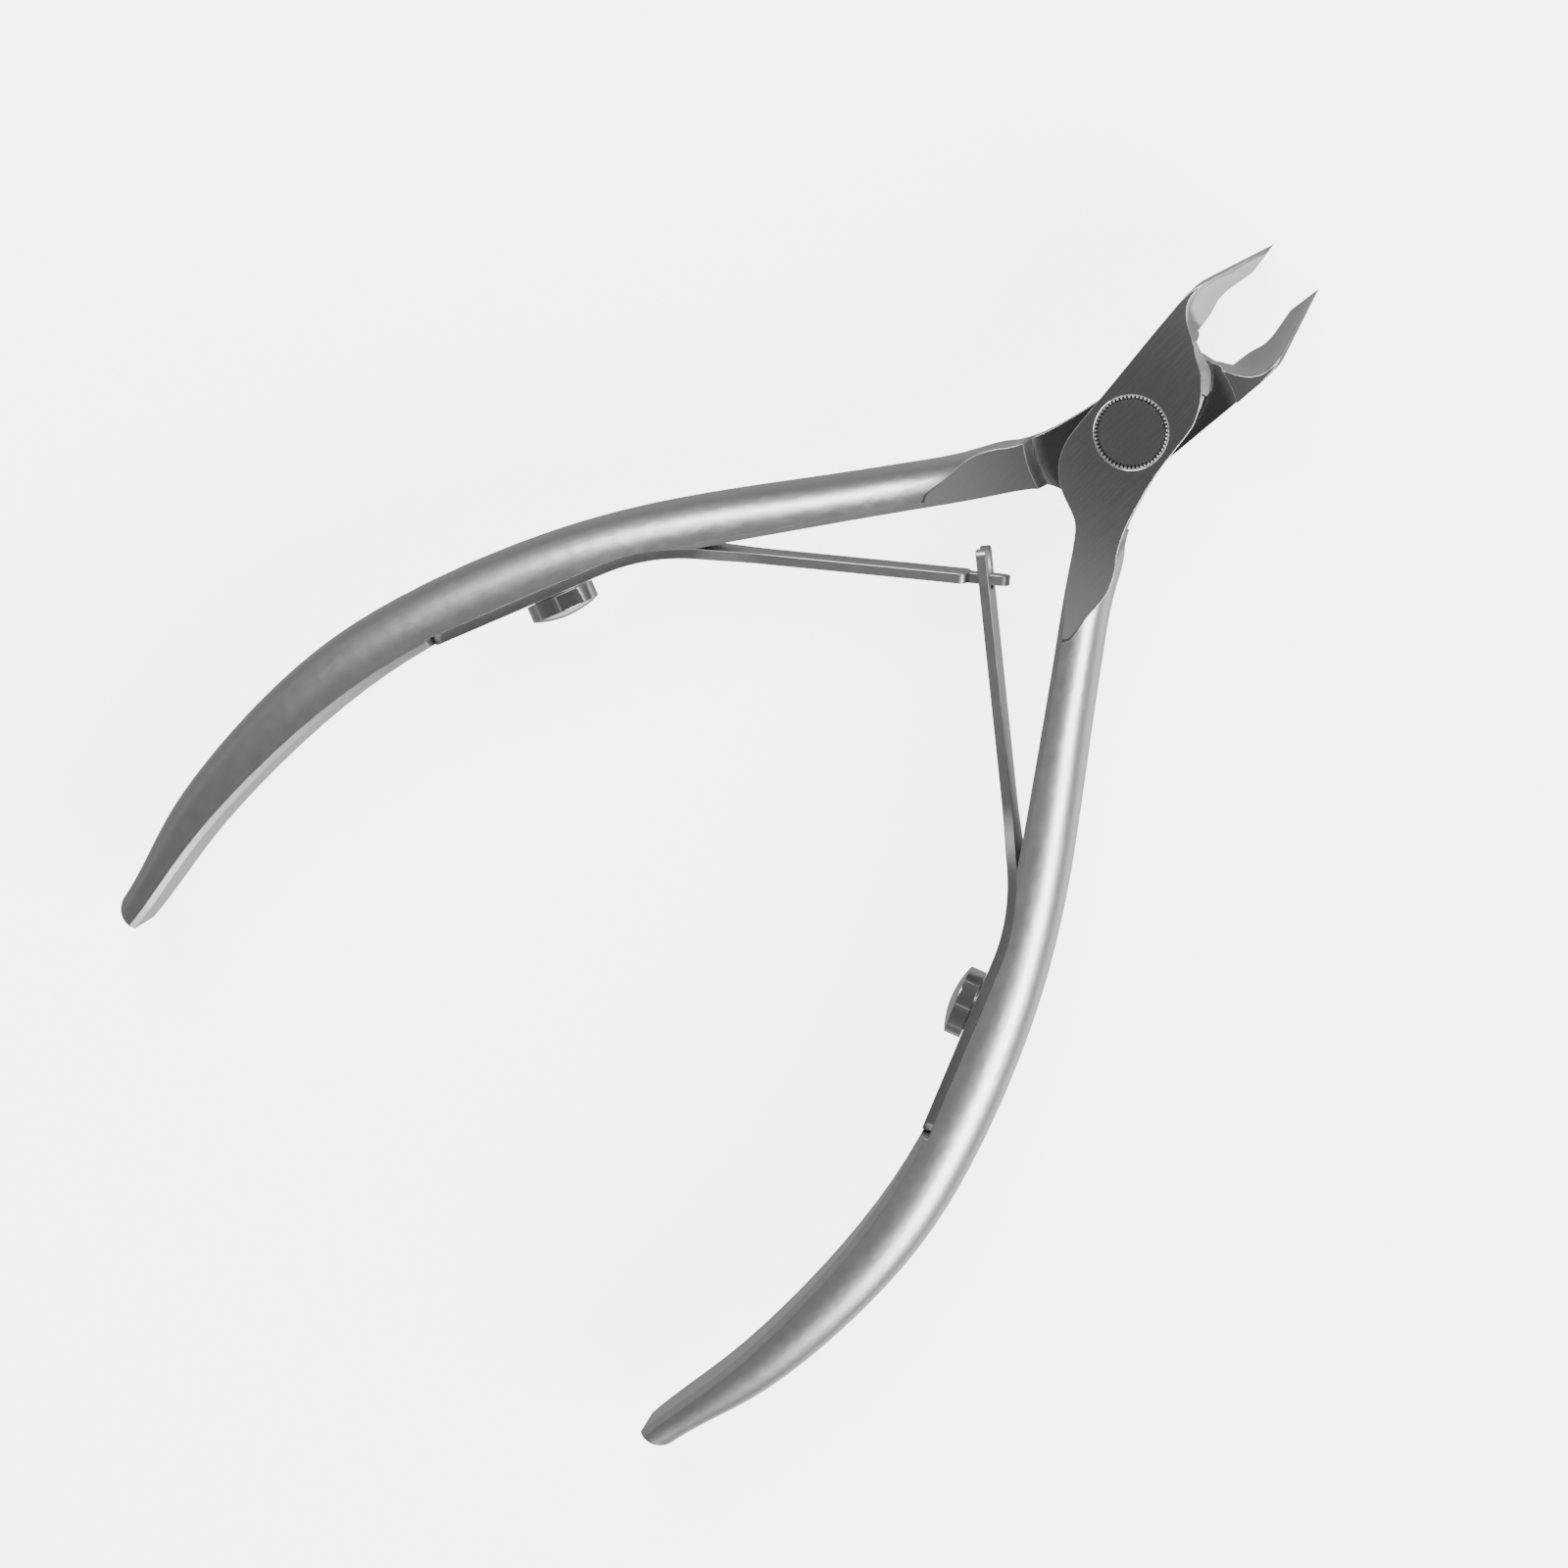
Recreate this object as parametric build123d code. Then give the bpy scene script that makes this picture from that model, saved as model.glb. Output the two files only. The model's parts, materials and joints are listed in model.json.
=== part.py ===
"""Cuticle nipper with a lap joint, a serrated pivot and two interlocking leaf springs.

The tool lies flat with its handles open, as at rest. +Z is the pivot axis and +X runs along
the middle line towards the jaws. Shapes are drawn about the middle plane of the joint, and are
then raised so that the origin is on the pivot axis in the back face of the joint.

Both levers share one outline. It is drawn for the rear half, whose handle is on the +Y side
and whose jaw is on the -Y side, and it is mirrored across the XZ plane for the front half.
All sizes are in millimetres.
"""

import math
import os

from build123d import *

# Joint
half_thickness = 4.0
lap_clearance = 0.02
lap_radius = 8.0
lap_outer_radius = 8.25
lap_fillet = 0.1
recess_depth = half_thickness + 1.0

# Pivot pin and its lock screw
pin_head_radius = 2.75
pin_head_height = 1.4
pin_radius = 1.75
pin_running_clearance = 0.03
pin_end_z = -2.77
pin_edge_break = 0.12
pin_serrations = 56
serration_depth = 0.2
serration_width = 0.16
serration_length = 0.3
lock_head_radius = 2.45
lock_thread_radius = 1.0
lock_thread_length = 3.4
lock_counterbore_z = -2.75
lock_counterbore_radius = 2.5
lock_slot_width = 0.6
lock_slot_depth = 0.55

# Jaws
edge_angle = 8.1
edge_start_radius = 14.4
tip_radius = 17.1
land_height = 0.2
notch_point = (8.24, -1.86)
jaw_shoulder = (12.1, -4.02)
hub_shoulder = (9.4, -4.32)
hub_edge_curve = [(3.2, 3.03), (5.0, 2.52), (6.0, 1.98), (6.85, 1.3), (7.35, 0.5), (7.55, -0.4), (7.9, -1.3)]
face_edge_curve = [(3.2, 3.03), (4.75, 2.4), (5.65, 1.78), (6.4, 1.03), (6.98, 0.25), (7.36, -0.5), (7.9, -1.3)]
hub_edge_tangents = [(1, -0.16), (0.42, -0.9)]
hub_bevel_depth = 1.3
edge_curve = [notch_point, (9.0, -1.96), (9.9, -2.1), (10.9, -2.4), (12.0, -2.42), (13.0, -2.26)]
scoop_middle_curve = [notch_point, (8.75, -2.5), (9.4, -3.05), (10.2, -3.45), (11.1, -3.66), (12.0, -3.62), (13.6, -3.18)]
scoop_front_curve = [notch_point, (8.65, -2.68), (9.2, -3.36), (9.9, -3.84), (10.8, -4.02), (11.8, -3.9), (13.2, -3.45)]
scoop_middle_height = 0.2
scoop_lean = 0.02
rim_curve = [(10.4, half_thickness), (12.2, 3.55), (14.2, 1.5), (16.0, -1.35), (17.6, -3.75)]
jaw_back_curve = [(7.0, -4.2), (9.4, -4.5), (10.9, -4.42), (12.1, -4.06), (17.6, -2.22)]
jaw_front_curve = [(7.0, -4.09), (9.4, -4.27), (10.9, -4.2), (12.1, -3.84), (17.6, -2.0)]

# Cutting tools reach this far past the faces they cut
overcut = 0.1
beyond_jaw = 19.0

# Handles: (x, y) of the inner face, lean of the tangent in degrees, depth, half width,
# and the exponent of the rounded outer side (high is square, 2 is an ellipse)
handle_stations = [
    (-6.8, 1.75, 34.0, 2.60, 5.80, 12.0),
    (-9.4, 3.11, 34.0, 3.34, 5.20, 10.0),
    (-12.0, 4.85, 34.3, 3.34, 4.45, 6.5),
    (-13.5, 5.88, 34.8, 3.36, 4.18, 3.2),
    (-15.5, 7.30, 35.2, 3.40, 3.97, 2.6),
    (-20.0, 10.50, 35.2, 3.50, 3.92, 2.4),
    (-26.0, 14.70, 34.5, 3.75, 3.92, 2.4),
    (-32.0, 18.75, 31.5, 3.95, 3.93, 2.4),
    (-38.0, 22.10, 26.5, 4.20, 3.95, 2.4),
    (-44.5, 24.90, 21.5, 4.50, 3.96, 2.4),
    (-51.1, 27.25, 16.5, 4.65, 3.95, 2.4),
    (-57.5, 28.85, 11.0, 4.75, 3.88, 2.4),
    (-64.5, 29.75, 5.0, 4.55, 3.75, 2.4),
    (-71.0, 30.00, -0.5, 4.15, 3.55, 2.3),
    (-77.6, 29.70, -5.0, 3.45, 3.25, 2.3),
    (-85.4, 28.80, -7.5, 2.55, 2.85, 2.3),
]
inner_chamfer = 0.45
handle_end_curve = [(-83.7, 31.7), (-84.9, 30.85), (-85.3, 29.5)]
handle_end_corners = [(-85.3, 20), (0, 0), (0, 50), (-83.0, 50)]

# Spring seat, a flat milled across the inner face of the handle
seat_angle = 22.2
seat_point = (-43.5, 24.9)
seat_far_x = -50.45

# Leaf springs: distances along an arm are measured from where the two arms cross
spring_thickness = 0.8
spring_far_x = -50.4
bend_radius = 16.5
arm_angle = 50.5
crossing_x = -16.3
flex_distance = -21.2
flex_radius = 0.38
flex_gap = 0.04
trim_far = -45.0
root_half_width = 2.9
root_corner_radius = 1.2
arm_half_width = 1.9
flare_start = -21.6
flare_end = -18.2
fork_tip = 2.4
fork_half_width = 2.05
slot_end = -0.85
slot_half_width = 0.95
prong_corner_radius = 0.5
tongue_tip = 1.85
tongue_half_width = 0.82
shoulder = -1.4
shoulder_radius = 0.6

# Spring screws
screw_x = -40.8
spring_hole_radius = 1.35
screw_thread_radius = 1.25
screw_thread_length = 2.6
screw_hole_depth = 2.8
screw_collar_radius = 2.1
screw_collar_height = 0.12
screw_head_radius = 2.78
screw_head_height = 1.3
screw_dome_height = 0.55
screw_slot_width = 0.7
screw_slot_depth = 0.65


def polar(radius, degrees):
    """Point in the XY plane at a radius and angle from the pivot."""
    angle = math.radians(degrees)
    return (radius * math.cos(angle), radius * math.sin(angle))


def upright_prism(face, low, high):
    """Solid above a face drawn in the XY plane, from one height to another."""
    return extrude(Pos(0, 0, low) * face, amount=high - low)


def lever_outline():
    """Plan of the jaw and hub, drawn for the rear half."""
    tip = polar(tip_radius, -edge_angle)
    edge_start = polar(edge_start_radius, -edge_angle)
    shank_inside = (-9.3, 3.02)
    shank_outside = (-7.41, 5.82)
    edges = [
        Line(tip, jaw_shoulder),
        Spline(jaw_shoulder, (10.9, -4.37), hub_shoulder, tangents=[(-0.95, -0.32), (-1, 0.094)]),
        Line(hub_shoulder, (-2.9, -3.17)),
        Spline(
            (-2.9, -3.17), (-4.6, -2.76), (-5.8, -1.98), (-6.8, -0.66), (-7.55, 1.3), shank_inside,
            tangents=[(-1, 0.094), (-0.83, 0.56)],
        ),
        Line(shank_inside, shank_outside),
        Spline(
            shank_outside, (-5.5, 4.82), (-3.3, 4.12), (-1.0, 3.58), hub_edge_curve[0],
            tangents=[(0.83, -0.56), (1, -0.16)],
        ),
        Spline(hub_edge_curve, tangents=hub_edge_tangents),
        Line(hub_edge_curve[-1], notch_point),
        Spline(edge_curve + [edge_start]),
        Line(edge_start, tip),
    ]
    return make_face(edges)


def handle_section(x, y, lean, depth, half_width, exponent):
    """D-shaped section: a flat inner face with two chamfers and a rounded outer side."""
    slope = math.radians(lean)
    outward = (math.sin(slope), math.cos(slope), 0)
    towards_joint = (math.cos(slope), -math.sin(slope), 0)
    plane = Plane(origin=(x, y, 0), x_dir=outward, z_dir=towards_joint)
    reach = depth - inner_chamfer
    rounded = []
    for degrees in (90, 78, 64, 48, 30, 0, -30, -48, -64, -78, -90):
        angle = math.radians(degrees)
        across = abs(math.cos(angle)) ** (2 / exponent)
        along = abs(math.sin(angle)) ** (2 / exponent)
        rounded.append((inner_chamfer + reach * across, math.copysign(half_width * along, degrees)))
    rounded[0] = (inner_chamfer, half_width)
    rounded[-1] = (inner_chamfer, -half_width)
    top = (0, half_width - inner_chamfer)
    bottom = (0, -top[1])
    edges = [
        Spline(rounded, tangents=[(1, 0), (-1, 0)]),
        Line(rounded[-1], bottom),
        Line(bottom, top),
        Line(top, rounded[0]),
    ]
    return plane * make_face(edges)


def handle():
    """Handle and shank, lofted through the stations and cut flat beside the joint."""
    bar = loft([handle_section(*station) for station in handle_stations])
    slab = Box(100, 60, 2 * half_thickness, align=(Align.MAX, Align.MIN, Align.CENTER))
    end_outline = make_face([
        ThreePointArc(*handle_end_curve),
        Polyline(handle_end_curve[-1], *handle_end_corners, handle_end_curve[0]),
    ])
    return bar & slab & upright_prism(end_outline, -2 * half_thickness, 2 * half_thickness)


def seat_height(x):
    """Distance of the spring seat from the middle line at a given x."""
    return seat_point[1] - math.tan(math.radians(seat_angle)) * (x - seat_point[0])


def direction(degrees):
    """Unit vector that runs along a handle or spring towards the joint."""
    angle = math.radians(degrees)
    return Vector(math.cos(angle), -math.sin(angle))


def outward(degrees):
    """Unit vector square to direction(), pointing out of the tool."""
    angle = math.radians(degrees)
    return Vector(math.sin(angle), math.cos(angle))


def arm_point(distance):
    """Point on the middle surface of a spring arm."""
    return Vector(crossing_x, 0) + direction(arm_angle) * distance


def spring_line(far_x, end_distance, offset):
    """Line of a leaf in plan: straight root, bend and straight arm, moved outward by offset."""
    seat_normal = outward(seat_angle)
    arm_normal = outward(arm_angle)
    root_start = Vector(far_x, seat_height(far_x)) - seat_normal * (spring_thickness / 2)
    end = arm_point(end_distance)
    to_end = end - root_start
    root_length = to_end.dot(arm_normal) / direction(seat_angle).dot(arm_normal)
    corner = root_start + direction(seat_angle) * root_length
    miter = (seat_normal + arm_normal) / (1 + seat_normal.dot(arm_normal))
    points = [root_start + seat_normal * offset, corner + miter * offset, end + arm_normal * offset]
    return FilletPolyline(*points, radius=bend_radius + offset)


def seat_cut():
    """Tool that mills the seat and the curved run-out that follows the back of the spring."""
    back = spring_line(seat_far_x, flare_end, spring_thickness / 2)
    far_wall_end = back @ 0 - outward(seat_angle) * 20
    closing = Polyline(back @ 1, (-28, 5), far_wall_end, back @ 0)
    return upright_prism(make_face(back.edges() + closing.edges()), -2 * half_thickness, 2 * half_thickness)


def leaf_blank(end_distance):
    """Leaf of even thickness and full width, bent to shape."""
    back = spring_line(spring_far_x, end_distance, spring_thickness / 2)
    front = spring_line(spring_far_x, end_distance, -spring_thickness / 2)
    ends = [Line(back @ 0, front @ 0), Line(back @ 1, front @ 1)]
    strip = make_face(back.edges() + front.edges() + ends)
    return upright_prism(strip, -root_half_width, root_half_width)


def arm_plane():
    """Plane of a spring arm: X along the arm from the crossing, Y across its width."""
    return Plane(
        origin=(crossing_x, 0, 0),
        x_dir=direction(arm_angle),
        z_dir=-outward(arm_angle),
    )


def arm_trim(tip_outline):
    """Tool that keeps the taper and the tip of an arm, seen square to the arm."""
    return extrude(arm_plane() * tip_outline, amount=3 * bend_radius, both=True)


def half_space_beyond(distance):
    """Large block that covers an arm from a distance along it to well past its tip."""
    block = Box(60, 20, 6, align=(Align.MIN, Align.CENTER, Align.CENTER))
    return arm_plane() * Pos(distance, 0, 0) * block


def flex_cylinder(radius):
    """Round bar across the leaf where it flexes."""
    return Pos(*arm_point(flex_distance)) * Cylinder(radius, 2 * root_half_width)


def screw_plane():
    """Plane on the seat at the spring screw, with its Z axis pointing out of the handle."""
    return Plane(origin=(screw_x, seat_height(screw_x), 0), x_dir=(0, 0, 1), z_dir=-outward(seat_angle))


def spring_root(trim):
    """Fixed part of a leaf: the plate under the screw and the bend that follows the handle."""
    root = leaf_blank(shoulder) & trim
    far_edges = root.edges().filter_by(lambda edge: abs(edge.length - spring_thickness) < 0.01)
    root = fillet(far_edges.sort_by(Axis.X)[:2], root_corner_radius)
    root -= half_space_beyond(flex_distance)
    root -= flex_cylinder(flex_radius + flex_gap)
    return root - screw_plane() * Cylinder(spring_hole_radius, 4)


def spring_arm(trim, end_distance):
    """Flexing part of a leaf, which turns about its round end."""
    arm = leaf_blank(end_distance) & trim & half_space_beyond(flex_distance + flex_gap)
    return arm + flex_cylinder(flex_radius)


def half_outline(points):
    """Symmetric face from points along one side."""
    mirrored = [(distance, -half) for distance, half in reversed(points)]
    return make_face(Polyline(points + mirrored, close=True))


def fork_trim():
    """Outline of the leaf whose tip is split into two prongs."""
    outline = half_outline([
        (trim_far, root_half_width + 1),
        (flare_start, root_half_width),
        (flare_end, arm_half_width),
        (slot_end, arm_half_width),
        (fork_tip, fork_half_width),
    ])
    outline = fillet(outline.vertices().sort_by(Axis.X)[-2:], prong_corner_radius)
    slot = Pos(slot_end, 0) * Rectangle(5, 2 * slot_half_width, align=(Align.MIN, Align.CENTER))
    return arm_trim(outline - slot)


def tongue_trim():
    """Outline of the leaf whose tip is a narrow tongue with a shoulder on each side."""
    outline = half_outline([
        (trim_far, root_half_width + 1),
        (flare_start, root_half_width),
        (flare_end, arm_half_width),
        (shoulder, arm_half_width),
        (shoulder, tongue_half_width),
        (tongue_tip, tongue_half_width),
    ])
    shoulders = outline.vertices().filter_by(lambda v: abs(v.X - shoulder) < 0.01).sort_by(lambda v: abs(v.Y))[-2:]
    outline = fillet(shoulders, shoulder_radius)
    outline = fillet(outline.vertices().sort_by(Axis.X)[-2:], tongue_half_width - 0.1)
    return arm_trim(outline)


def spring_screw():
    """Slotted screw with a domed head that clamps a leaf to its seat."""
    low = (Align.CENTER, Align.CENTER, Align.MIN)
    collar_top = spring_thickness + screw_collar_height
    head_top = collar_top + screw_head_height
    sphere_radius = (screw_head_radius**2 + screw_dome_height**2) / (2 * screw_dome_height)
    head = Cylinder(screw_head_radius, screw_head_height + screw_dome_height, align=low)
    dome = Pos(0, 0, head_top + screw_dome_height - sphere_radius) * Sphere(sphere_radius)
    head = Pos(0, 0, collar_top) * head & dome
    neck = Cylinder(screw_thread_radius, screw_thread_length + collar_top, align=low)
    collar = Cylinder(screw_collar_radius, screw_collar_height, align=low)
    slot = Box(screw_slot_width, 3 * screw_head_radius, 2 * screw_slot_depth)
    slot = Pos(0, 0, head_top + screw_dome_height) * slot
    body = Pos(0, 0, -screw_thread_length) * neck + Pos(0, 0, spring_thickness) * collar + head - slot
    return screw_plane() * body


def scoop_section(height, curve, line_end):
    """One level of the hollow in a jaw: a curve, a straight stretch, and a box inside it."""
    edges = [
        Spline(curve),
        Line(curve[-1], line_end),
        Polyline(line_end, (beyond_jaw, line_end[1]), (beyond_jaw, 1.5), (notch_point[0], 1.5), curve[0]),
    ]
    return Pos(0, 0, height) * make_face(edges)


def jaw_scoop():
    """Hollow-ground cavity that leaves a cutting edge along the back of a jaw."""
    tip = polar(tip_radius + 3 * overcut, -edge_angle)
    edge_start = polar(edge_start_radius, -edge_angle)
    back = scoop_section(land_height - half_thickness, edge_curve + [edge_start], tip)
    middle = scoop_section(scoop_middle_height, scoop_middle_curve, (tip[0], tip[1] - scoop_lean))
    front = scoop_section(half_thickness + overcut, scoop_front_curve, (tip[0], tip[1] - 2 * scoop_lean))
    return loft([back, middle, front])


def jaw_slope():
    """Wedge above the sloping rim, which falls from the hub to the tip of a jaw."""
    rim = Spline(rim_curve, tangents=[(1, 0), (0.6, -1)])
    side = make_face([rim, Polyline(rim_curve[-1], (beyond_jaw, 6), (rim_curve[0][0], 6), rim_curve[0])])
    return extrude(Plane.XZ * side, amount=8, both=True)


def hub_bevel():
    """Tool for the crescent bevel where the face of the hub runs out towards the jaw notch."""
    corners = [(9, hub_edge_curve[-1][1]), (9, 6), (hub_edge_curve[0][0], 6)]
    sections = []
    for height, curve in ((half_thickness - hub_bevel_depth, hub_edge_curve), (half_thickness, face_edge_curve)):
        closing = Polyline(curve[-1], *corners, curve[0])
        face = make_face([Spline(curve, tangents=hub_edge_tangents)] + closing.edges())
        sections.append(Pos(0, 0, height) * face)
    return loft(sections, ruled=True)


def jaw_lean():
    """Tool that leans the outer wall of a jaw inwards from the back to the front."""
    sections = []
    for height, curve in ((-half_thickness - overcut, jaw_back_curve), (half_thickness + overcut, jaw_front_curve)):
        outline = Polyline(*curve, (17.6, -7), (7.0, -7), close=True)
        sections.append(Pos(0, 0, height) * make_face(outline))
    return loft(sections, ruled=True)


def lap_recess():
    """Tool for the round recess, with a leaning wall and a small fillet at its floor."""
    cone = Cone(lap_radius, lap_outer_radius, recess_depth, align=(Align.CENTER, Align.CENTER, Align.MIN))
    return Pos(0, 0, -lap_clearance) * fillet(cone.edges().sort_by(Axis.Z)[0], lap_fillet)


def lever(lap_side):
    """One lever, with its lap on the lap_side (+1 is the front) of the middle plane."""
    body = upright_prism(lever_outline(), -half_thickness, half_thickness) + handle()
    body -= jaw_scoop() + jaw_slope()
    body -= jaw_lean()
    recess = lap_recess()
    bevel = hub_bevel()
    if lap_side > 0:
        recess = recess.mirror(Plane.XY)
    else:
        bevel = bevel.mirror(Plane.XY)
    body -= recess + bevel
    body -= seat_cut()
    return body - screw_plane() * Cylinder(screw_thread_radius, 2 * screw_hole_depth)


def rear_half():
    """Rear lever, which turns on the shank of the pivot pin."""
    body = lever(-1)
    body -= Cylinder(pin_radius + pin_running_clearance, 4 * half_thickness)
    counterbore = Cylinder(lock_counterbore_radius, recess_depth, align=(Align.CENTER, Align.CENTER, Align.MAX))
    return body - Pos(0, 0, lock_counterbore_z) * counterbore


def front_half():
    """Front lever, which holds the serrated head of the pivot pin."""
    body = lever(1).mirror(Plane.XZ)
    body -= Cylinder(pin_radius, 4 * half_thickness)
    counterbore = Cylinder(pin_head_radius, recess_depth, align=(Align.CENTER, Align.CENTER, Align.MIN))
    body -= Pos(0, 0, half_thickness - pin_head_height) * counterbore
    countersink = Cone(
        pin_head_radius, pin_head_radius + pin_edge_break, pin_edge_break,
        align=(Align.CENTER, Align.CENTER, Align.MAX),
    )
    return body - Pos(0, 0, half_thickness) * countersink


def pivot_pin():
    """Pin with a flush head, serrated round its rim, and a threaded bore from the back."""
    head = Cylinder(pin_head_radius, pin_head_height, align=(Align.CENTER, Align.CENTER, Align.MAX))
    head = Pos(0, 0, half_thickness) * head
    head = chamfer(head.edges().sort_by(Axis.Z)[-1], pin_edge_break)
    shank_length = half_thickness - pin_end_z
    shank = Cylinder(pin_radius, shank_length, align=(Align.CENTER, Align.CENTER, Align.MIN))
    notch = Box(2 * serration_length, serration_width, 2 * serration_depth)
    notch = Pos(pin_head_radius, 0, half_thickness) * notch
    notches = [Rot(0, 0, 360 * step / pin_serrations) * notch for step in range(pin_serrations)]
    bore = Cylinder(lock_thread_radius, lock_thread_length, align=(Align.CENTER, Align.CENTER, Align.MIN))
    return head + Pos(0, 0, pin_end_z) * shank - notches - Pos(0, 0, pin_end_z) * bore


def pivot_screw():
    """Slotted screw that closes the pivot from the back, flush in the rear half."""
    head_height = half_thickness + pin_end_z
    head = Cylinder(lock_head_radius, head_height, align=(Align.CENTER, Align.CENTER, Align.MAX))
    head = chamfer(head.edges().sort_by(Axis.Z)[0], 0.15)
    thread = Cylinder(lock_thread_radius, lock_thread_length, align=(Align.CENTER, Align.CENTER, Align.MIN))
    slot = Pos(0, 0, -head_height) * Box(3 * lock_head_radius, lock_slot_width, 2 * lock_slot_depth)
    return Pos(0, 0, pin_end_z) * (head + thread - slot)


def mirrored(shape):
    """The same piece on the other side of the middle line."""
    return shape.mirror(Plane.XZ)


def export_parts():
    """Write one STEP file for each piece, standing on the back face of the joint."""
    parts = {
        "front_half": front_half(),
        "rear_half": rear_half(),
        "pivot_pin": pivot_pin(),
        "pivot_screw": pivot_screw(),
        "fork_spring_root": mirrored(spring_root(fork_trim())),
        "fork_spring_arm": mirrored(spring_arm(fork_trim(), fork_tip + 1)),
        "tongue_spring_root": spring_root(tongue_trim()),
        "tongue_spring_arm": spring_arm(tongue_trim(), tongue_tip + 1),
        "fork_spring_screw": mirrored(spring_screw()),
        "tongue_spring_screw": spring_screw(),
    }
    os.makedirs("parts", exist_ok=True)
    for name, shape in parts.items():
        export_step(Pos(0, 0, half_thickness) * shape, f"parts/{name}.step")


export_parts()
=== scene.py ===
import json
import math

import bmesh
import bpy
from mathutils import Matrix, Vector


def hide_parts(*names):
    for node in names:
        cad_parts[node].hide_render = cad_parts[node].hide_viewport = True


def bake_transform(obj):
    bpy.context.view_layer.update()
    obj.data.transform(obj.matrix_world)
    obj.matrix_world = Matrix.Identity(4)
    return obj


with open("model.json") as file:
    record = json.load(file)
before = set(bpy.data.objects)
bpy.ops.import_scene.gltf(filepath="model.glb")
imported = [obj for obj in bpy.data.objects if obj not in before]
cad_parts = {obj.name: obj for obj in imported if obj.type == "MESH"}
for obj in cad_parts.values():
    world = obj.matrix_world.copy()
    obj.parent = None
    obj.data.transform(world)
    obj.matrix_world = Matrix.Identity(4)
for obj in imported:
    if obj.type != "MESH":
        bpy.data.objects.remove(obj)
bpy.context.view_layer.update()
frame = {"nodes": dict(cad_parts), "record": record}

MM = 0.001

# Unless a comment says otherwise, the named values are in millimetres and degrees, in the frame
# of the CAD: the pivot axis is Z, the back face is Z = 0 and +X runs to the jaws.

# Levers: how high their faces are, where their finish changes, and where shade and light are
# painted on them. A pair is the start and the end of a soft change.
FRONT_Z = 8.0
LAP_Z = 4.0
FACE_SLACK = 0.015
FLAT_POLISH_X = (-16.8, -16.0)
POLISH_X = (-7.8, -7.0)
RECESS_RADIUS = (8.3, 8.7)
RECESS_SHADE_RADIUS = (7.0, 8.0)
RECESS_WALL_RADIUS = (7.6, 7.8)
RECESS_FLOOR_HEIGHT = 0.2
SUNK_HEIGHT = 3.9
CRESCENT_X = 5.8
CRESCENT_Z = 4.3
CRESCENT_RADIUS = 8.1
LEVER_EDGE = 0.09
SCREW_EDGE = 0.08

# Head of the pivot pin: its serrations lie outside this radius and below this height.
SERRATION_RADIUS = 2.43
SERRATION_Z = 7.86

# Leaf springs. A distance along a leaf is measured from the place where the two arms cross,
# towards the tips.
MIDDLE_Z = 4.0
CROSSING_X = -16.3
ARM_ANGLE = 50.5
SEAT_ANGLE = 22.2
BEND_RADIUS = 16.5
ROOT_END = (-50.551, 27.346)
ROOT_CORNER = 1.2
ROOT_HALF_WIDTH = 2.9
ARM_HALF_WIDTH = 1.9
FLARE = (-23.0, -17.2)
FLARE_STEPS = 10
SCREW_FROM_END = 10.37
SCREW_HOLE_RADIUS = 1.35
LEAF_THICKNESS = 0.8
EDGE_ROUND = 0.07
FLEX = -21.2
FLEX_HALF_LENGTH = 3.5
CUT_SPACING = 0.4
CUTS_PAST_BEND = 4.0

# Tip of the fork: two prongs that spread from the end of the slot.
FORK_TIP = 2.4
PRONG_HALF_WIDTH = 2.03
PRONG_CORNER = 0.5
SLOT_END = -0.85
SLOT_HALF_WIDTH = 0.95
INNER_CORNER = 0.25

# Tip of the tongue: narrow from the shoulder on.
SHOULDER = -1.4
SHOULDER_CORNER = 0.6
TONGUE_TIP = 1.85
TONGUE_HALF_WIDTH = 0.82
TONGUE_CORNER = 0.72

# Camera: place in metres, turned by the tilt away from straight down and then by the roll.
CAMERA_PLACE = (0.03465, -0.00013, 0.303)
CAMERA_TILT = 13.881
CAMERA_ROLL = -45.154
FOCAL_LENGTH = 90
SENSOR_WIDTH = 36

# Studio, in metres and watts: each light's name, place, width, height and power.
LIGHTS = (
    ("key", (0.33, 0.50, 0.58), 0.42, 0.36, 7),
    ("fill", (0.12, -0.82, 0.37), 0.85, 0.42, 15),
)
LIGHT_TARGET = (-0.03, 0, 0)
FLOOR_HALF_SIZE = 1.5
FLOOR_DROP = 0.0001
DARK_SPOT = (-0.112, 0.0, 0.9937)


# ---------------------------------------------------------------- shader helpers

def node(tree, kind, **values):
    """A shader node with its properties set."""
    made = tree.nodes.new(kind)
    for key, value in values.items():
        setattr(made, key, value)
    return made


def link(tree, source, target):
    tree.links.new(source, target)


def feed(tree, value, socket):
    """Sets a socket to a number, or links it when the value is a socket too."""
    if isinstance(value, (int, float)):
        socket.default_value = value
    else:
        link(tree, value, socket)


def math_node(tree, operation, *values):
    """A Math node on sockets or numbers."""
    made = node(tree, "ShaderNodeMath", operation=operation)
    for index, value in enumerate(values):
        feed(tree, value, made.inputs[index])
    return made.outputs[0]


def product(tree, first, *others):
    """All the values multiplied, which for masks means where all of them hold."""
    for other in others:
        first = math_node(tree, "MULTIPLY", first, other)
    return first


def opposite(tree, mask):
    return math_node(tree, "SUBTRACT", 1, mask)


def over(tree, value, limit):
    """Mask of a place in metres that lies past a limit in millimetres."""
    return math_node(tree, "GREATER_THAN", value, limit * MM)


def under(tree, value, limit):
    return math_node(tree, "LESS_THAN", value, limit * MM)


def map_range(tree, value, low, high, out_low, out_high):
    made = node(tree, "ShaderNodeMapRange", interpolation_type="SMOOTHSTEP")
    link(tree, value, made.inputs["Value"])
    numbers = {"From Min": low, "From Max": high, "To Min": out_low, "To Max": out_high}
    for name, number in numbers.items():
        made.inputs[name].default_value = number
    return made.outputs["Result"]


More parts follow.
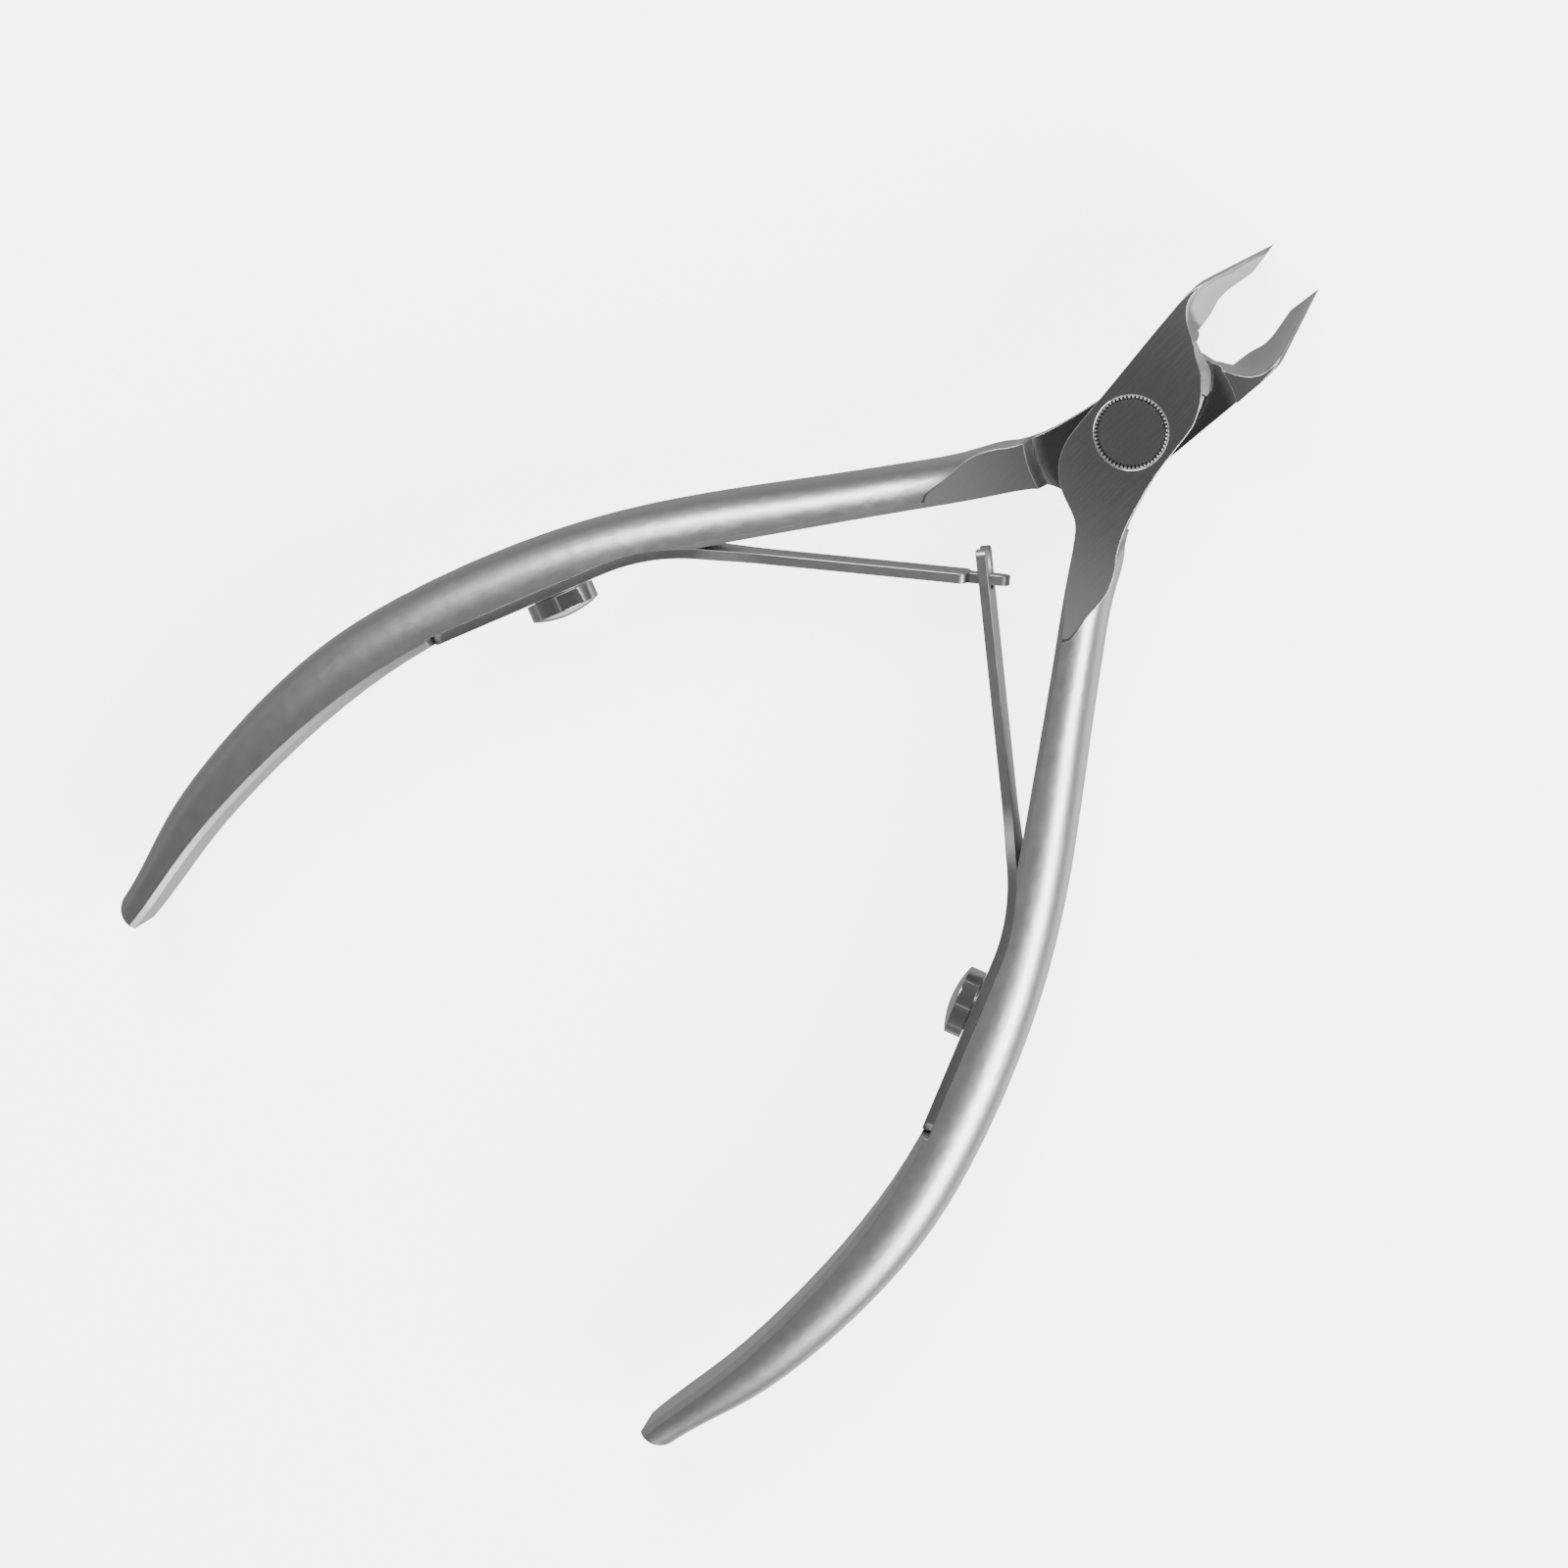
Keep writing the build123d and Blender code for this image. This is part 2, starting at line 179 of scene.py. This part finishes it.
def fade(tree, value, span, out_low=0, out_high=1):
    """A soft change of a place in metres over a span in millimetres."""
    return map_range(tree, value, span[0] * MM, span[1] * MM, out_low, out_high)


def mix_numbers(tree, factor, first, second):
    """first where factor is 0, second where it is 1; each is a socket or a number."""
    made = node(tree, "ShaderNodeMix", data_type="FLOAT")
    link(tree, factor, made.inputs["Factor"])
    feed(tree, first, made.inputs["A"])
    feed(tree, second, made.inputs["B"])
    return made.outputs["Result"]


def noise(tree, coords, scale, detail=3.0, stretch=None):
    """Noise between 0 and 1, stretched along an axis when asked."""
    made = node(tree, "ShaderNodeTexNoise")
    made.inputs["Scale"].default_value = scale
    made.inputs["Detail"].default_value = detail
    if stretch:
        mapping = node(tree, "ShaderNodeMapping")
        mapping.inputs["Scale"].default_value = stretch
        link(tree, coords, mapping.inputs["Vector"])
        coords = mapping.outputs["Vector"]
    link(tree, coords, made.inputs["Vector"])
    return made.outputs["Fac"]


def varied(tree, base, *layers):
    """A base value plus each layer of noise times its amount."""
    total = base
    for layer, amount in layers:
        total = math_node(tree, "ADD", product(tree, layer, amount), total)
    return total


def grey(tree, value):
    """Turns a number into a slightly warm grey."""
    made = node(tree, "ShaderNodeCombineColor")
    link(tree, value, made.inputs["Red"])
    link(tree, product(tree, value, 0.992), made.inputs["Green"])
    link(tree, product(tree, value, 0.988), made.inputs["Blue"])
    return made.outputs["Color"]


def object_coords(tree):
    return node(tree, "ShaderNodeTexCoord").outputs["Object"]


def place_sockets(tree, coords):
    """X, Z and the distance from the pivot axis, in metres."""
    split = node(tree, "ShaderNodeSeparateXYZ")
    link(tree, coords, split.inputs["Vector"])
    across = node(tree, "ShaderNodeCombineXYZ")
    for axis in "XY":
        link(tree, split.outputs[axis], across.inputs[axis])
    length = node(tree, "ShaderNodeVectorMath", operation="LENGTH")
    link(tree, across.outputs["Vector"], length.inputs[0])
    return split.outputs["X"], split.outputs["Z"], length.outputs["Value"]


def edge_mask(tree, radius):
    """(mask of sharp convex and concave edges, rounded normal)."""
    bevel = node(tree, "ShaderNodeBevel", samples=6)
    bevel.inputs["Radius"].default_value = radius * MM
    geometry = node(tree, "ShaderNodeNewGeometry")
    dot = node(tree, "ShaderNodeVectorMath", operation="DOT_PRODUCT")
    link(tree, bevel.outputs["Normal"], dot.inputs[0])
    link(tree, geometry.outputs["Normal"], dot.inputs[1])
    return map_range(tree, dot.outputs["Value"], 0.995, 0.85, 0, 1), bevel.outputs["Normal"]


def plain_normal(tree):
    return node(tree, "ShaderNodeNewGeometry").outputs["Normal"]


def bump(tree, height, strength, distance, normal):
    """Normal with a relief on it, whose depth is in millimetres."""
    made = node(tree, "ShaderNodeBump")
    made.inputs["Strength"].default_value = strength
    made.inputs["Distance"].default_value = distance * MM
    link(tree, height, made.inputs["Height"])
    link(tree, normal, made.inputs["Normal"])
    return made.outputs["Normal"]


def new_material(name):
    """A node material whose Principled shader is wired to its output."""
    material = bpy.data.materials.new(name)
    material.use_nodes = True
    tree = material.node_tree
    tree.nodes.clear()
    shader = node(tree, "ShaderNodeBsdfPrincipled")
    output = node(tree, "ShaderNodeOutputMaterial")
    link(tree, shader.outputs["BSDF"], output.inputs["Surface"])
    return material, tree, shader


def make_metal(tree, shader, roughness, tone, normal):
    shader.inputs["Metallic"].default_value = 1
    link(tree, roughness, shader.inputs["Roughness"])
    link(tree, grey(tree, tone), shader.inputs["Base Color"])
    link(tree, normal, shader.inputs["Normal"])


# ---------------------------------------------------------------- materials

def polish(tree, coords):
    """Hairlines of the polished joint, with their roughness and tone."""
    hairline = noise(tree, coords, 1500, 3.0, stretch=(0.25, 6.0, 6.0))
    return hairline, varied(tree, 0.05, (hairline, 0.06)), varied(tree, 0.60, (hairline, 0.03))


def lever_masks(tree, coords):
    """Polished faces, lap recess, wall of the recess, crescent bevel, and painted shade of the
    recess floor.
    """
    x, z, radius = place_sockets(tree, coords)
    front = over(tree, z, FRONT_Z - FACE_SLACK)
    flat = math_node(tree, "MAXIMUM", front, under(tree, z, FACE_SLACK))
    flat_polish = product(tree, fade(tree, x, FLAT_POLISH_X), flat)
    polished = math_node(tree, "MAXIMUM", flat_polish, fade(tree, x, POLISH_X))

    height = math_node(tree, "ABSOLUTE", math_node(tree, "SUBTRACT", z, LAP_Z * MM))
    sunk = under(tree, height, SUNK_HEIGHT)
    inside = opposite(tree, fade(tree, radius, RECESS_RADIUS))
    recess = product(tree, under(tree, height, RECESS_FLOOR_HEIGHT), inside)
    wall = product(tree, fade(tree, radius, RECESS_WALL_RADIUS), under(tree, x, 0), inside, sunk)
    crescent = product(
        tree, over(tree, x, CRESCENT_X), sunk, over(tree, z, CRESCENT_Z),
        under(tree, radius, CRESCENT_RADIUS),
    )
    # The last value is painted shade: the recess floor is darkened towards the hub.
    return polished, recess, wall, crescent, fade(tree, radius, RECESS_SHADE_RADIUS, 0.40, 0.95)


def lever_steel():
    """Polished joint and jaws that turn into satin, bead-blasted handles behind the facet."""
    material, tree, shader = new_material("lever_steel")
    coords = object_coords(tree)
    polished, recess, wall, crescent, recess_painted_shade = lever_masks(tree, coords)
    grain = noise(tree, coords, 26000, 2.0)
    blotch = noise(tree, coords, 900, 4.0)
    hairline, polish_roughness, polish_tone = polish(tree, coords)
    edges, rounded = edge_mask(tree, LEVER_EDGE)
    edges = product(tree, edges, opposite(tree, wall))

    satin_roughness = varied(tree, 0.30, (blotch, 0.07), (grain, 0.05))
    roughness = mix_numbers(tree, polished, satin_roughness, polish_roughness)
    for mask, value in ((wall, 0.5), (edges, 0.42), (crescent, 0.5)):
        roughness = mix_numbers(tree, mask, roughness, value)

    satin_tone = varied(tree, 0.60, (blotch, 0.05), (grain, 0.05))
    tone = mix_numbers(tree, polished, satin_tone, polish_tone)
    # Painted shade: the recess floor is darkened towards the hub.
    tone = product(tree, tone, mix_numbers(tree, recess, 1, recess_painted_shade))
    # Painted shade and light: the recess wall is darkened, the crescent bevel is lightened over
    # the dark reflection it would show, and the sharp edges are whitened as a painted highlight.
    for mask, value in ((wall, 0.36), (crescent, 0.95), (edges, 1.0)):
        tone = mix_numbers(tree, mask, tone, value)

    relief = mix_numbers(tree, polished, grain, product(tree, hairline, 0.15))
    make_metal(tree, shader, roughness, tone, bump(tree, relief, 0.25, 0.02, rounded))
    # Painted glint: the edges of the polished faces glow faintly white.
    shader.inputs["Emission Color"].default_value = (1, 1, 1, 1)
    link(tree, product(tree, edges, polished, 0.22), shader.inputs["Emission Strength"])
    return material


def spring_steel():
    """Rolled strip: fine lengthwise lines and a slightly darker tone."""
    material, tree, shader = new_material("spring_steel")
    coords = object_coords(tree)
    lines = noise(tree, coords, 3000, 3.0, stretch=(0.3, 0.3, 5.0))
    blotch = noise(tree, coords, 700, 3.0)
    roughness = varied(tree, 0.36, (blotch, 0.08))
    tone = varied(tree, 0.43, (lines, 0.06))
    normal = bump(tree, lines, 0.06, 0.01, plain_normal(tree))
    make_metal(tree, shader, roughness, tone, normal)
    return material


def mirror_steel():
    """Turned and buffed screws: nearly a mirror, with faint turning marks."""
    material, tree, shader = new_material("mirror_steel")
    coords = object_coords(tree)
    blotch = noise(tree, coords, 1200, 3.0)
    scratches = noise(tree, coords, 5000, 2.0, stretch=(1.0, 0.2, 1.0))
    edges, rounded = edge_mask(tree, SCREW_EDGE)
    roughness = varied(tree, 0.04, (blotch, 0.06))
    # Painted highlight: sharp edges are made nearly white.
    tone = mix_numbers(tree, edges, varied(tree, 0.66, (scratches, 0.05)), 0.95)
    make_metal(tree, shader, roughness, tone, bump(tree, scratches, 0.05, 0.01, rounded))
    return material


def pivot_steel():
    """Pin head in the tone of the joint, with dark oil and shadow in its serrations."""
    material, tree, shader = new_material("pivot_steel")
    coords = object_coords(tree)
    z, radius = place_sockets(tree, coords)[1:]
    flat = over(tree, z, FRONT_Z - FACE_SLACK)
    serrations = product(tree, over(tree, radius, SERRATION_RADIUS), under(tree, z, SERRATION_Z))
    hairline, roughness, tone = polish(tree, coords)
    roughness = mix_numbers(tree, flat, 0.55, roughness)
    # Painted highlight and shade: all of the head but its flat face is made nearly white, and
    # the serrations nearly black.
    tone = mix_numbers(tree, serrations, mix_numbers(tree, flat, 0.95, tone), 0.06)
    normal = bump(tree, hairline, 0.05, 0.02, plain_normal(tree))
    make_metal(tree, shader, roughness, tone, normal)
    return material


# ---------------------------------------------------------------- leaf springs

def heading(degrees):
    """Unit vector along a leaf towards its tip."""
    angle = math.radians(degrees)
    return Vector((math.cos(angle), -math.sin(angle), 0))


def outward(degrees):
    """Unit vector square to heading(), pointing at the handle."""
    angle = math.radians(degrees)
    return Vector((math.sin(angle), math.cos(angle), 0))


def arm_point(along):
    """Point on the middle line of the straight arm."""
    return Vector((CROSSING_X, 0, 0)) + heading(ARM_ANGLE) * along


def leaf_stations():
    """Distances from the crossing to the far end of a leaf and to both ends of its bend."""
    root_end = Vector((*ROOT_END, 0))
    normal = outward(ARM_ANGLE)
    root_length = (arm_point(0) - root_end).dot(normal) / heading(SEAT_ANGLE).dot(normal)
    meeting = root_end + heading(SEAT_ANGLE) * root_length
    arm_length = (arm_point(0) - meeting).length
    turn = math.radians(ARM_ANGLE - SEAT_ANGLE)
    tangent = BEND_RADIUS * math.tan(turn / 2)
    bend_tip = tangent - arm_length
    bend_root = bend_tip - BEND_RADIUS * turn
    return bend_root - (root_length - tangent), bend_root, bend_tip


FAR_END, BEND_ROOT, BEND_TIP = leaf_stations()


def leaf_point(along, across, out):
    """Where a point of the flat strip lies once the leaf is bent."""
    if along >= BEND_TIP:
        angle = ARM_ANGLE
        place = arm_point(along)
    else:
        angle = SEAT_ANGLE
        if along > BEND_ROOT:
            angle = ARM_ANGLE - math.degrees((BEND_TIP - along) / BEND_RADIUS)
        centre = arm_point(BEND_TIP) - outward(ARM_ANGLE) * BEND_RADIUS
        straight = min(0, along - BEND_ROOT)
        place = centre + outward(angle) * BEND_RADIUS + heading(SEAT_ANGLE) * straight
    place = place + outward(angle) * out
    place.z = MIDDLE_Z + across
    return place


def arc(along, across, radius, start, end, steps=8):
    """Points round a centre, from one angle to another."""
    angles = [math.radians(start + (end - start) * step / steps) for step in range(steps + 1)]
    return [(along + radius * math.cos(a), across + radius * math.sin(a)) for a in angles]


def outer_arc(end, side, radius):
    """Rounded outer corner of a strip that ends at one place and is as wide as another says."""
    return arc(end - radius, side - radius, radius, 90, 0)


def strip_edge():
    """Upper edge of the strip, from the far end to where the tip begins."""
    far = arc(FAR_END + ROOT_CORNER, ROOT_HALF_WIDTH - ROOT_CORNER, ROOT_CORNER, 180, 90)
    flare = []
    for index in range(FLARE_STEPS + 1):
        step = index / FLARE_STEPS
        narrowing = (ROOT_HALF_WIDTH - ARM_HALF_WIDTH) * step * step * (3 - 2 * step)
        flare.append((FLARE[0] + (FLARE[1] - FLARE[0]) * step, ROOT_HALF_WIDTH - narrowing))
    return far + flare


def mirrored(half):
    """A closed outline from its upper half."""
    return half + [(along, -across) for along, across in reversed(half)]


def fork_outline():
    prong = outer_arc(FORK_TIP, PRONG_HALF_WIDTH, PRONG_CORNER)
    slot = arc(SLOT_END + INNER_CORNER, SLOT_HALF_WIDTH - INNER_CORNER, INNER_CORNER, 90, 180, 4)
    slot = [(FORK_TIP, SLOT_HALF_WIDTH)] + slot
    return mirrored(strip_edge() + [(SLOT_END, ARM_HALF_WIDTH)] + prong + slot)


def tongue_outline():
    shoulder = outer_arc(SHOULDER, ARM_HALF_WIDTH, SHOULDER_CORNER)
    inner = arc(
        SHOULDER + INNER_CORNER, TONGUE_HALF_WIDTH + INNER_CORNER, INNER_CORNER, 180, 270, 4
    )
    tip = outer_arc(TONGUE_TIP, TONGUE_HALF_WIDTH, TONGUE_CORNER)
    return mirrored(strip_edge() + shoulder + inner + tip)


def flat_strip(name, outline):
    """The strip before bending: an outline and its screw hole, with rounded edges."""
    curve = bpy.data.curves.new(name, "CURVE")
    curve.dimensions = "2D"
    curve.fill_mode = "BOTH"
    curve.extrude = LEAF_THICKNESS / 2 - EDGE_ROUND
    curve.bevel_depth = EDGE_ROUND
    curve.bevel_resolution = 2
    curve.offset = -EDGE_ROUND
    hole = arc(FAR_END + SCREW_FROM_END, 0, SCREW_HOLE_RADIUS, 0, 345, 23)
    for points in (outline, hole):
        spline = curve.splines.new("POLY")
        spline.points.add(len(points) - 1)
        for point, (along, across) in zip(spline.points, points):
            point.co = (along, across, 0, 1)
        spline.use_cyclic_u = True
    pattern = bpy.data.objects.new(name + "_pattern", curve)
    bm = bmesh.new()
    bm.from_mesh(bpy.data.meshes.new_from_object(pattern))
    bpy.data.objects.remove(pattern)
    bpy.data.curves.remove(curve)
    bmesh.ops.remove_doubles(bm, verts=bm.verts, dist=0.002)
    return bm


def cut_across(bm):
    """Cuts the flat strip into short lengths where it bends or flexes."""
    for index in range(math.ceil((BEND_TIP + CUTS_PAST_BEND - BEND_ROOT) / CUT_SPACING)):
        bmesh.ops.bisect_plane(
            bm, geom=bm.verts[:] + bm.edges[:] + bm.faces[:], dist=0.0005,
            plane_co=(BEND_ROOT + index * CUT_SPACING, 0, 0), plane_no=(1, 0, 0),
        )


def face_kind(face):
    """0 for the broad faces, 1 for the rounded edge, 2 for the sides."""
    lean = abs(face.normal.z)
    return 0 if lean > 0.999 else 1 if lean > 0.02 else 2


def shade_smooth(bm):
    """Smooth shading within each kind of face of the flat strip."""
    bmesh.ops.recalc_face_normals(bm, faces=bm.faces)
    for face in bm.faces:
        face.smooth = True
    for edge in bm.edges:
        edge.smooth = len({face_kind(face) for face in edge.link_faces}) == 1


def scene_place(place, side):
    """A point of the leaf in metres, on the side of its handle."""
    return place.x * MM, place.y * side * MM, place.z * MM


def flex_end(along, side):
    place = arm_point(along)
    place.z = MIDDLE_Z
    return scene_place(place, side)


def leaf(name, outline, side, finish, replaced):
    """One continuous leaf: cut flat with rounded edges and bent, shown in place of its bodies.
    """
    bm = flat_strip(name, outline)
    cut_across(bm)
    shade_smooth(bm)
    for vert in bm.verts:
        vert.co = scene_place(leaf_point(*vert.co), side)
    bmesh.ops.recalc_face_normals(bm, faces=bm.faces)
    mesh = bpy.data.meshes.new(name)
    bm.to_mesh(mesh)
    bm.free()
    mesh.materials.append(finish)
    piece = bpy.data.objects.new(name, mesh)
    bpy.context.scene.collection.objects.link(piece)
    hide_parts(*replaced)
    start = flex_end(FLEX - FLEX_HALF_LENGTH, side)
    end = flex_end(FLEX + FLEX_HALF_LENGTH, side)
    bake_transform(piece)


# ---------------------------------------------------------------- camera, light, floor

def add_camera():
    data = bpy.data.cameras.new("camera")
    data.sensor_width = SENSOR_WIDTH
    data.lens = FOCAL_LENGTH
    data.clip_start = 0.01
    data.clip_end = 10
    camera = bpy.data.objects.new("camera", data)
    tilt = Matrix.Rotation(math.radians(CAMERA_TILT), 4, "Y")
    roll = Matrix.Rotation(math.radians(CAMERA_ROLL), 4, "Z")
    camera.matrix_world = Matrix.Translation(CAMERA_PLACE) @ tilt @ roll
    bpy.context.scene.collection.objects.link(camera)
    bpy.context.scene.camera = camera


def add_area(name, place, width, height, power):
    data = bpy.data.lights.new(name, "AREA")
    data.shape = "RECTANGLE"
    data.size = width
    data.size_y = height
    data.energy = power
    light = bpy.data.objects.new(name, data)
    light.location = place
    direction = Vector(LIGHT_TARGET) - Vector(place)
    light.rotation_euler = direction.to_track_quat("-Z", "Y").to_euler()
    bpy.context.scene.collection.objects.link(light)


def add_floor():
    """A plain white floor that is kept out of reflections."""
    mesh = bpy.data.meshes.new("floor")
    size = FLOOR_HALF_SIZE
    corners = [(-size, -size, 0), (size, -size, 0), (size, size, 0), (-size, size, 0)]
    mesh.from_pydata(corners, [], [(0, 1, 2, 3)])
    floor = bpy.data.objects.new("floor", mesh)
    floor.location.z = -FLOOR_DROP
    bpy.context.scene.collection.objects.link(floor)
    material, _, shader = new_material("floor_white")
    shader.inputs["Base Color"].default_value = (0.90, 0.90, 0.90, 1)
    shader.inputs["Roughness"].default_value = 0.9
    shader.inputs["Specular IOR Level"].default_value = 0.1
    shader.inputs["Emission Color"].default_value = (1, 1, 1, 1)
    shader.inputs["Emission Strength"].default_value = 4.5
    mesh.materials.append(material)
    floor.visible_glossy = False


def add_world():
    """Grey walls with a band at the horizon, a dark spot above and a bright patch below."""
    world = bpy.data.worlds.new("studio")
    world.use_nodes = True
    tree = world.node_tree
    background = tree.nodes["Background"]
    direction = node(tree, "ShaderNodeTexCoord").outputs["Generated"]
    split = node(tree, "ShaderNodeSeparateXYZ")
    link(tree, direction, split.inputs["Vector"])
    up = split.outputs["Z"]

    wall = map_range(tree, up, -0.2, 0.8, 0.22, 0.13)
    from_band = math_node(tree, "ABSOLUTE", math_node(tree, "SUBTRACT", up, 0.05))
    wall = math_node(tree, "ADD", wall, map_range(tree, from_band, 0.02, 0.20, 0.16, 0))
    below = map_range(tree, split.outputs["Y"], -0.22, -0.38, 0.36, 1.25)
    wall = mix_numbers(tree, map_range(tree, up, -0.45, -0.7, 0, 1), wall, below)

    from_spot = node(tree, "ShaderNodeVectorMath", operation="DISTANCE")
    link(tree, direction, from_spot.inputs[0])
    from_spot.inputs[1].default_value = DARK_SPOT
    distance = from_spot.outputs["Value"]
    ring = mix_numbers(tree, map_range(tree, distance, 0.022, 0.060, 0, 1), 0.115, 0.42)
    tone = mix_numbers(tree, map_range(tree, distance, 0.060, 0.13, 0, 1), ring, wall)
    link(tree, grey(tree, tone), background.inputs["Color"])
    background.inputs["Strength"].default_value = 1
    bpy.context.scene.world = world


# ---------------------------------------------------------------- scene

def add_finishes():
    """Puts each CAD node's finish on it, and returns the finishes by material slot."""
    finishes = {
        "lever_steel": lever_steel(),
        "spring_steel": spring_steel(),
        "polished_steel": mirror_steel(),
    }
    for entry in frame["record"]["subparts"]:
        materials = frame["nodes"][entry["node"]].data.materials
        materials.clear()
        materials.append(finishes[entry["material_slot"]])
    frame["nodes"]["pivot_pin"].data.materials[0] = pivot_steel()
    return finishes


add_camera()
add_floor()
add_world()
for light in LIGHTS:
    add_area(*light)

spring_finish = add_finishes()["spring_steel"]
leaf(
    "tongue_spring", tongue_outline(), 1, spring_finish,
    ("tongue_spring_root", "tongue_spring_arm"),
)
leaf(
    "fork_spring", fork_outline(), -1, spring_finish,
    ("fork_spring_root", "fork_spring_arm"),
)
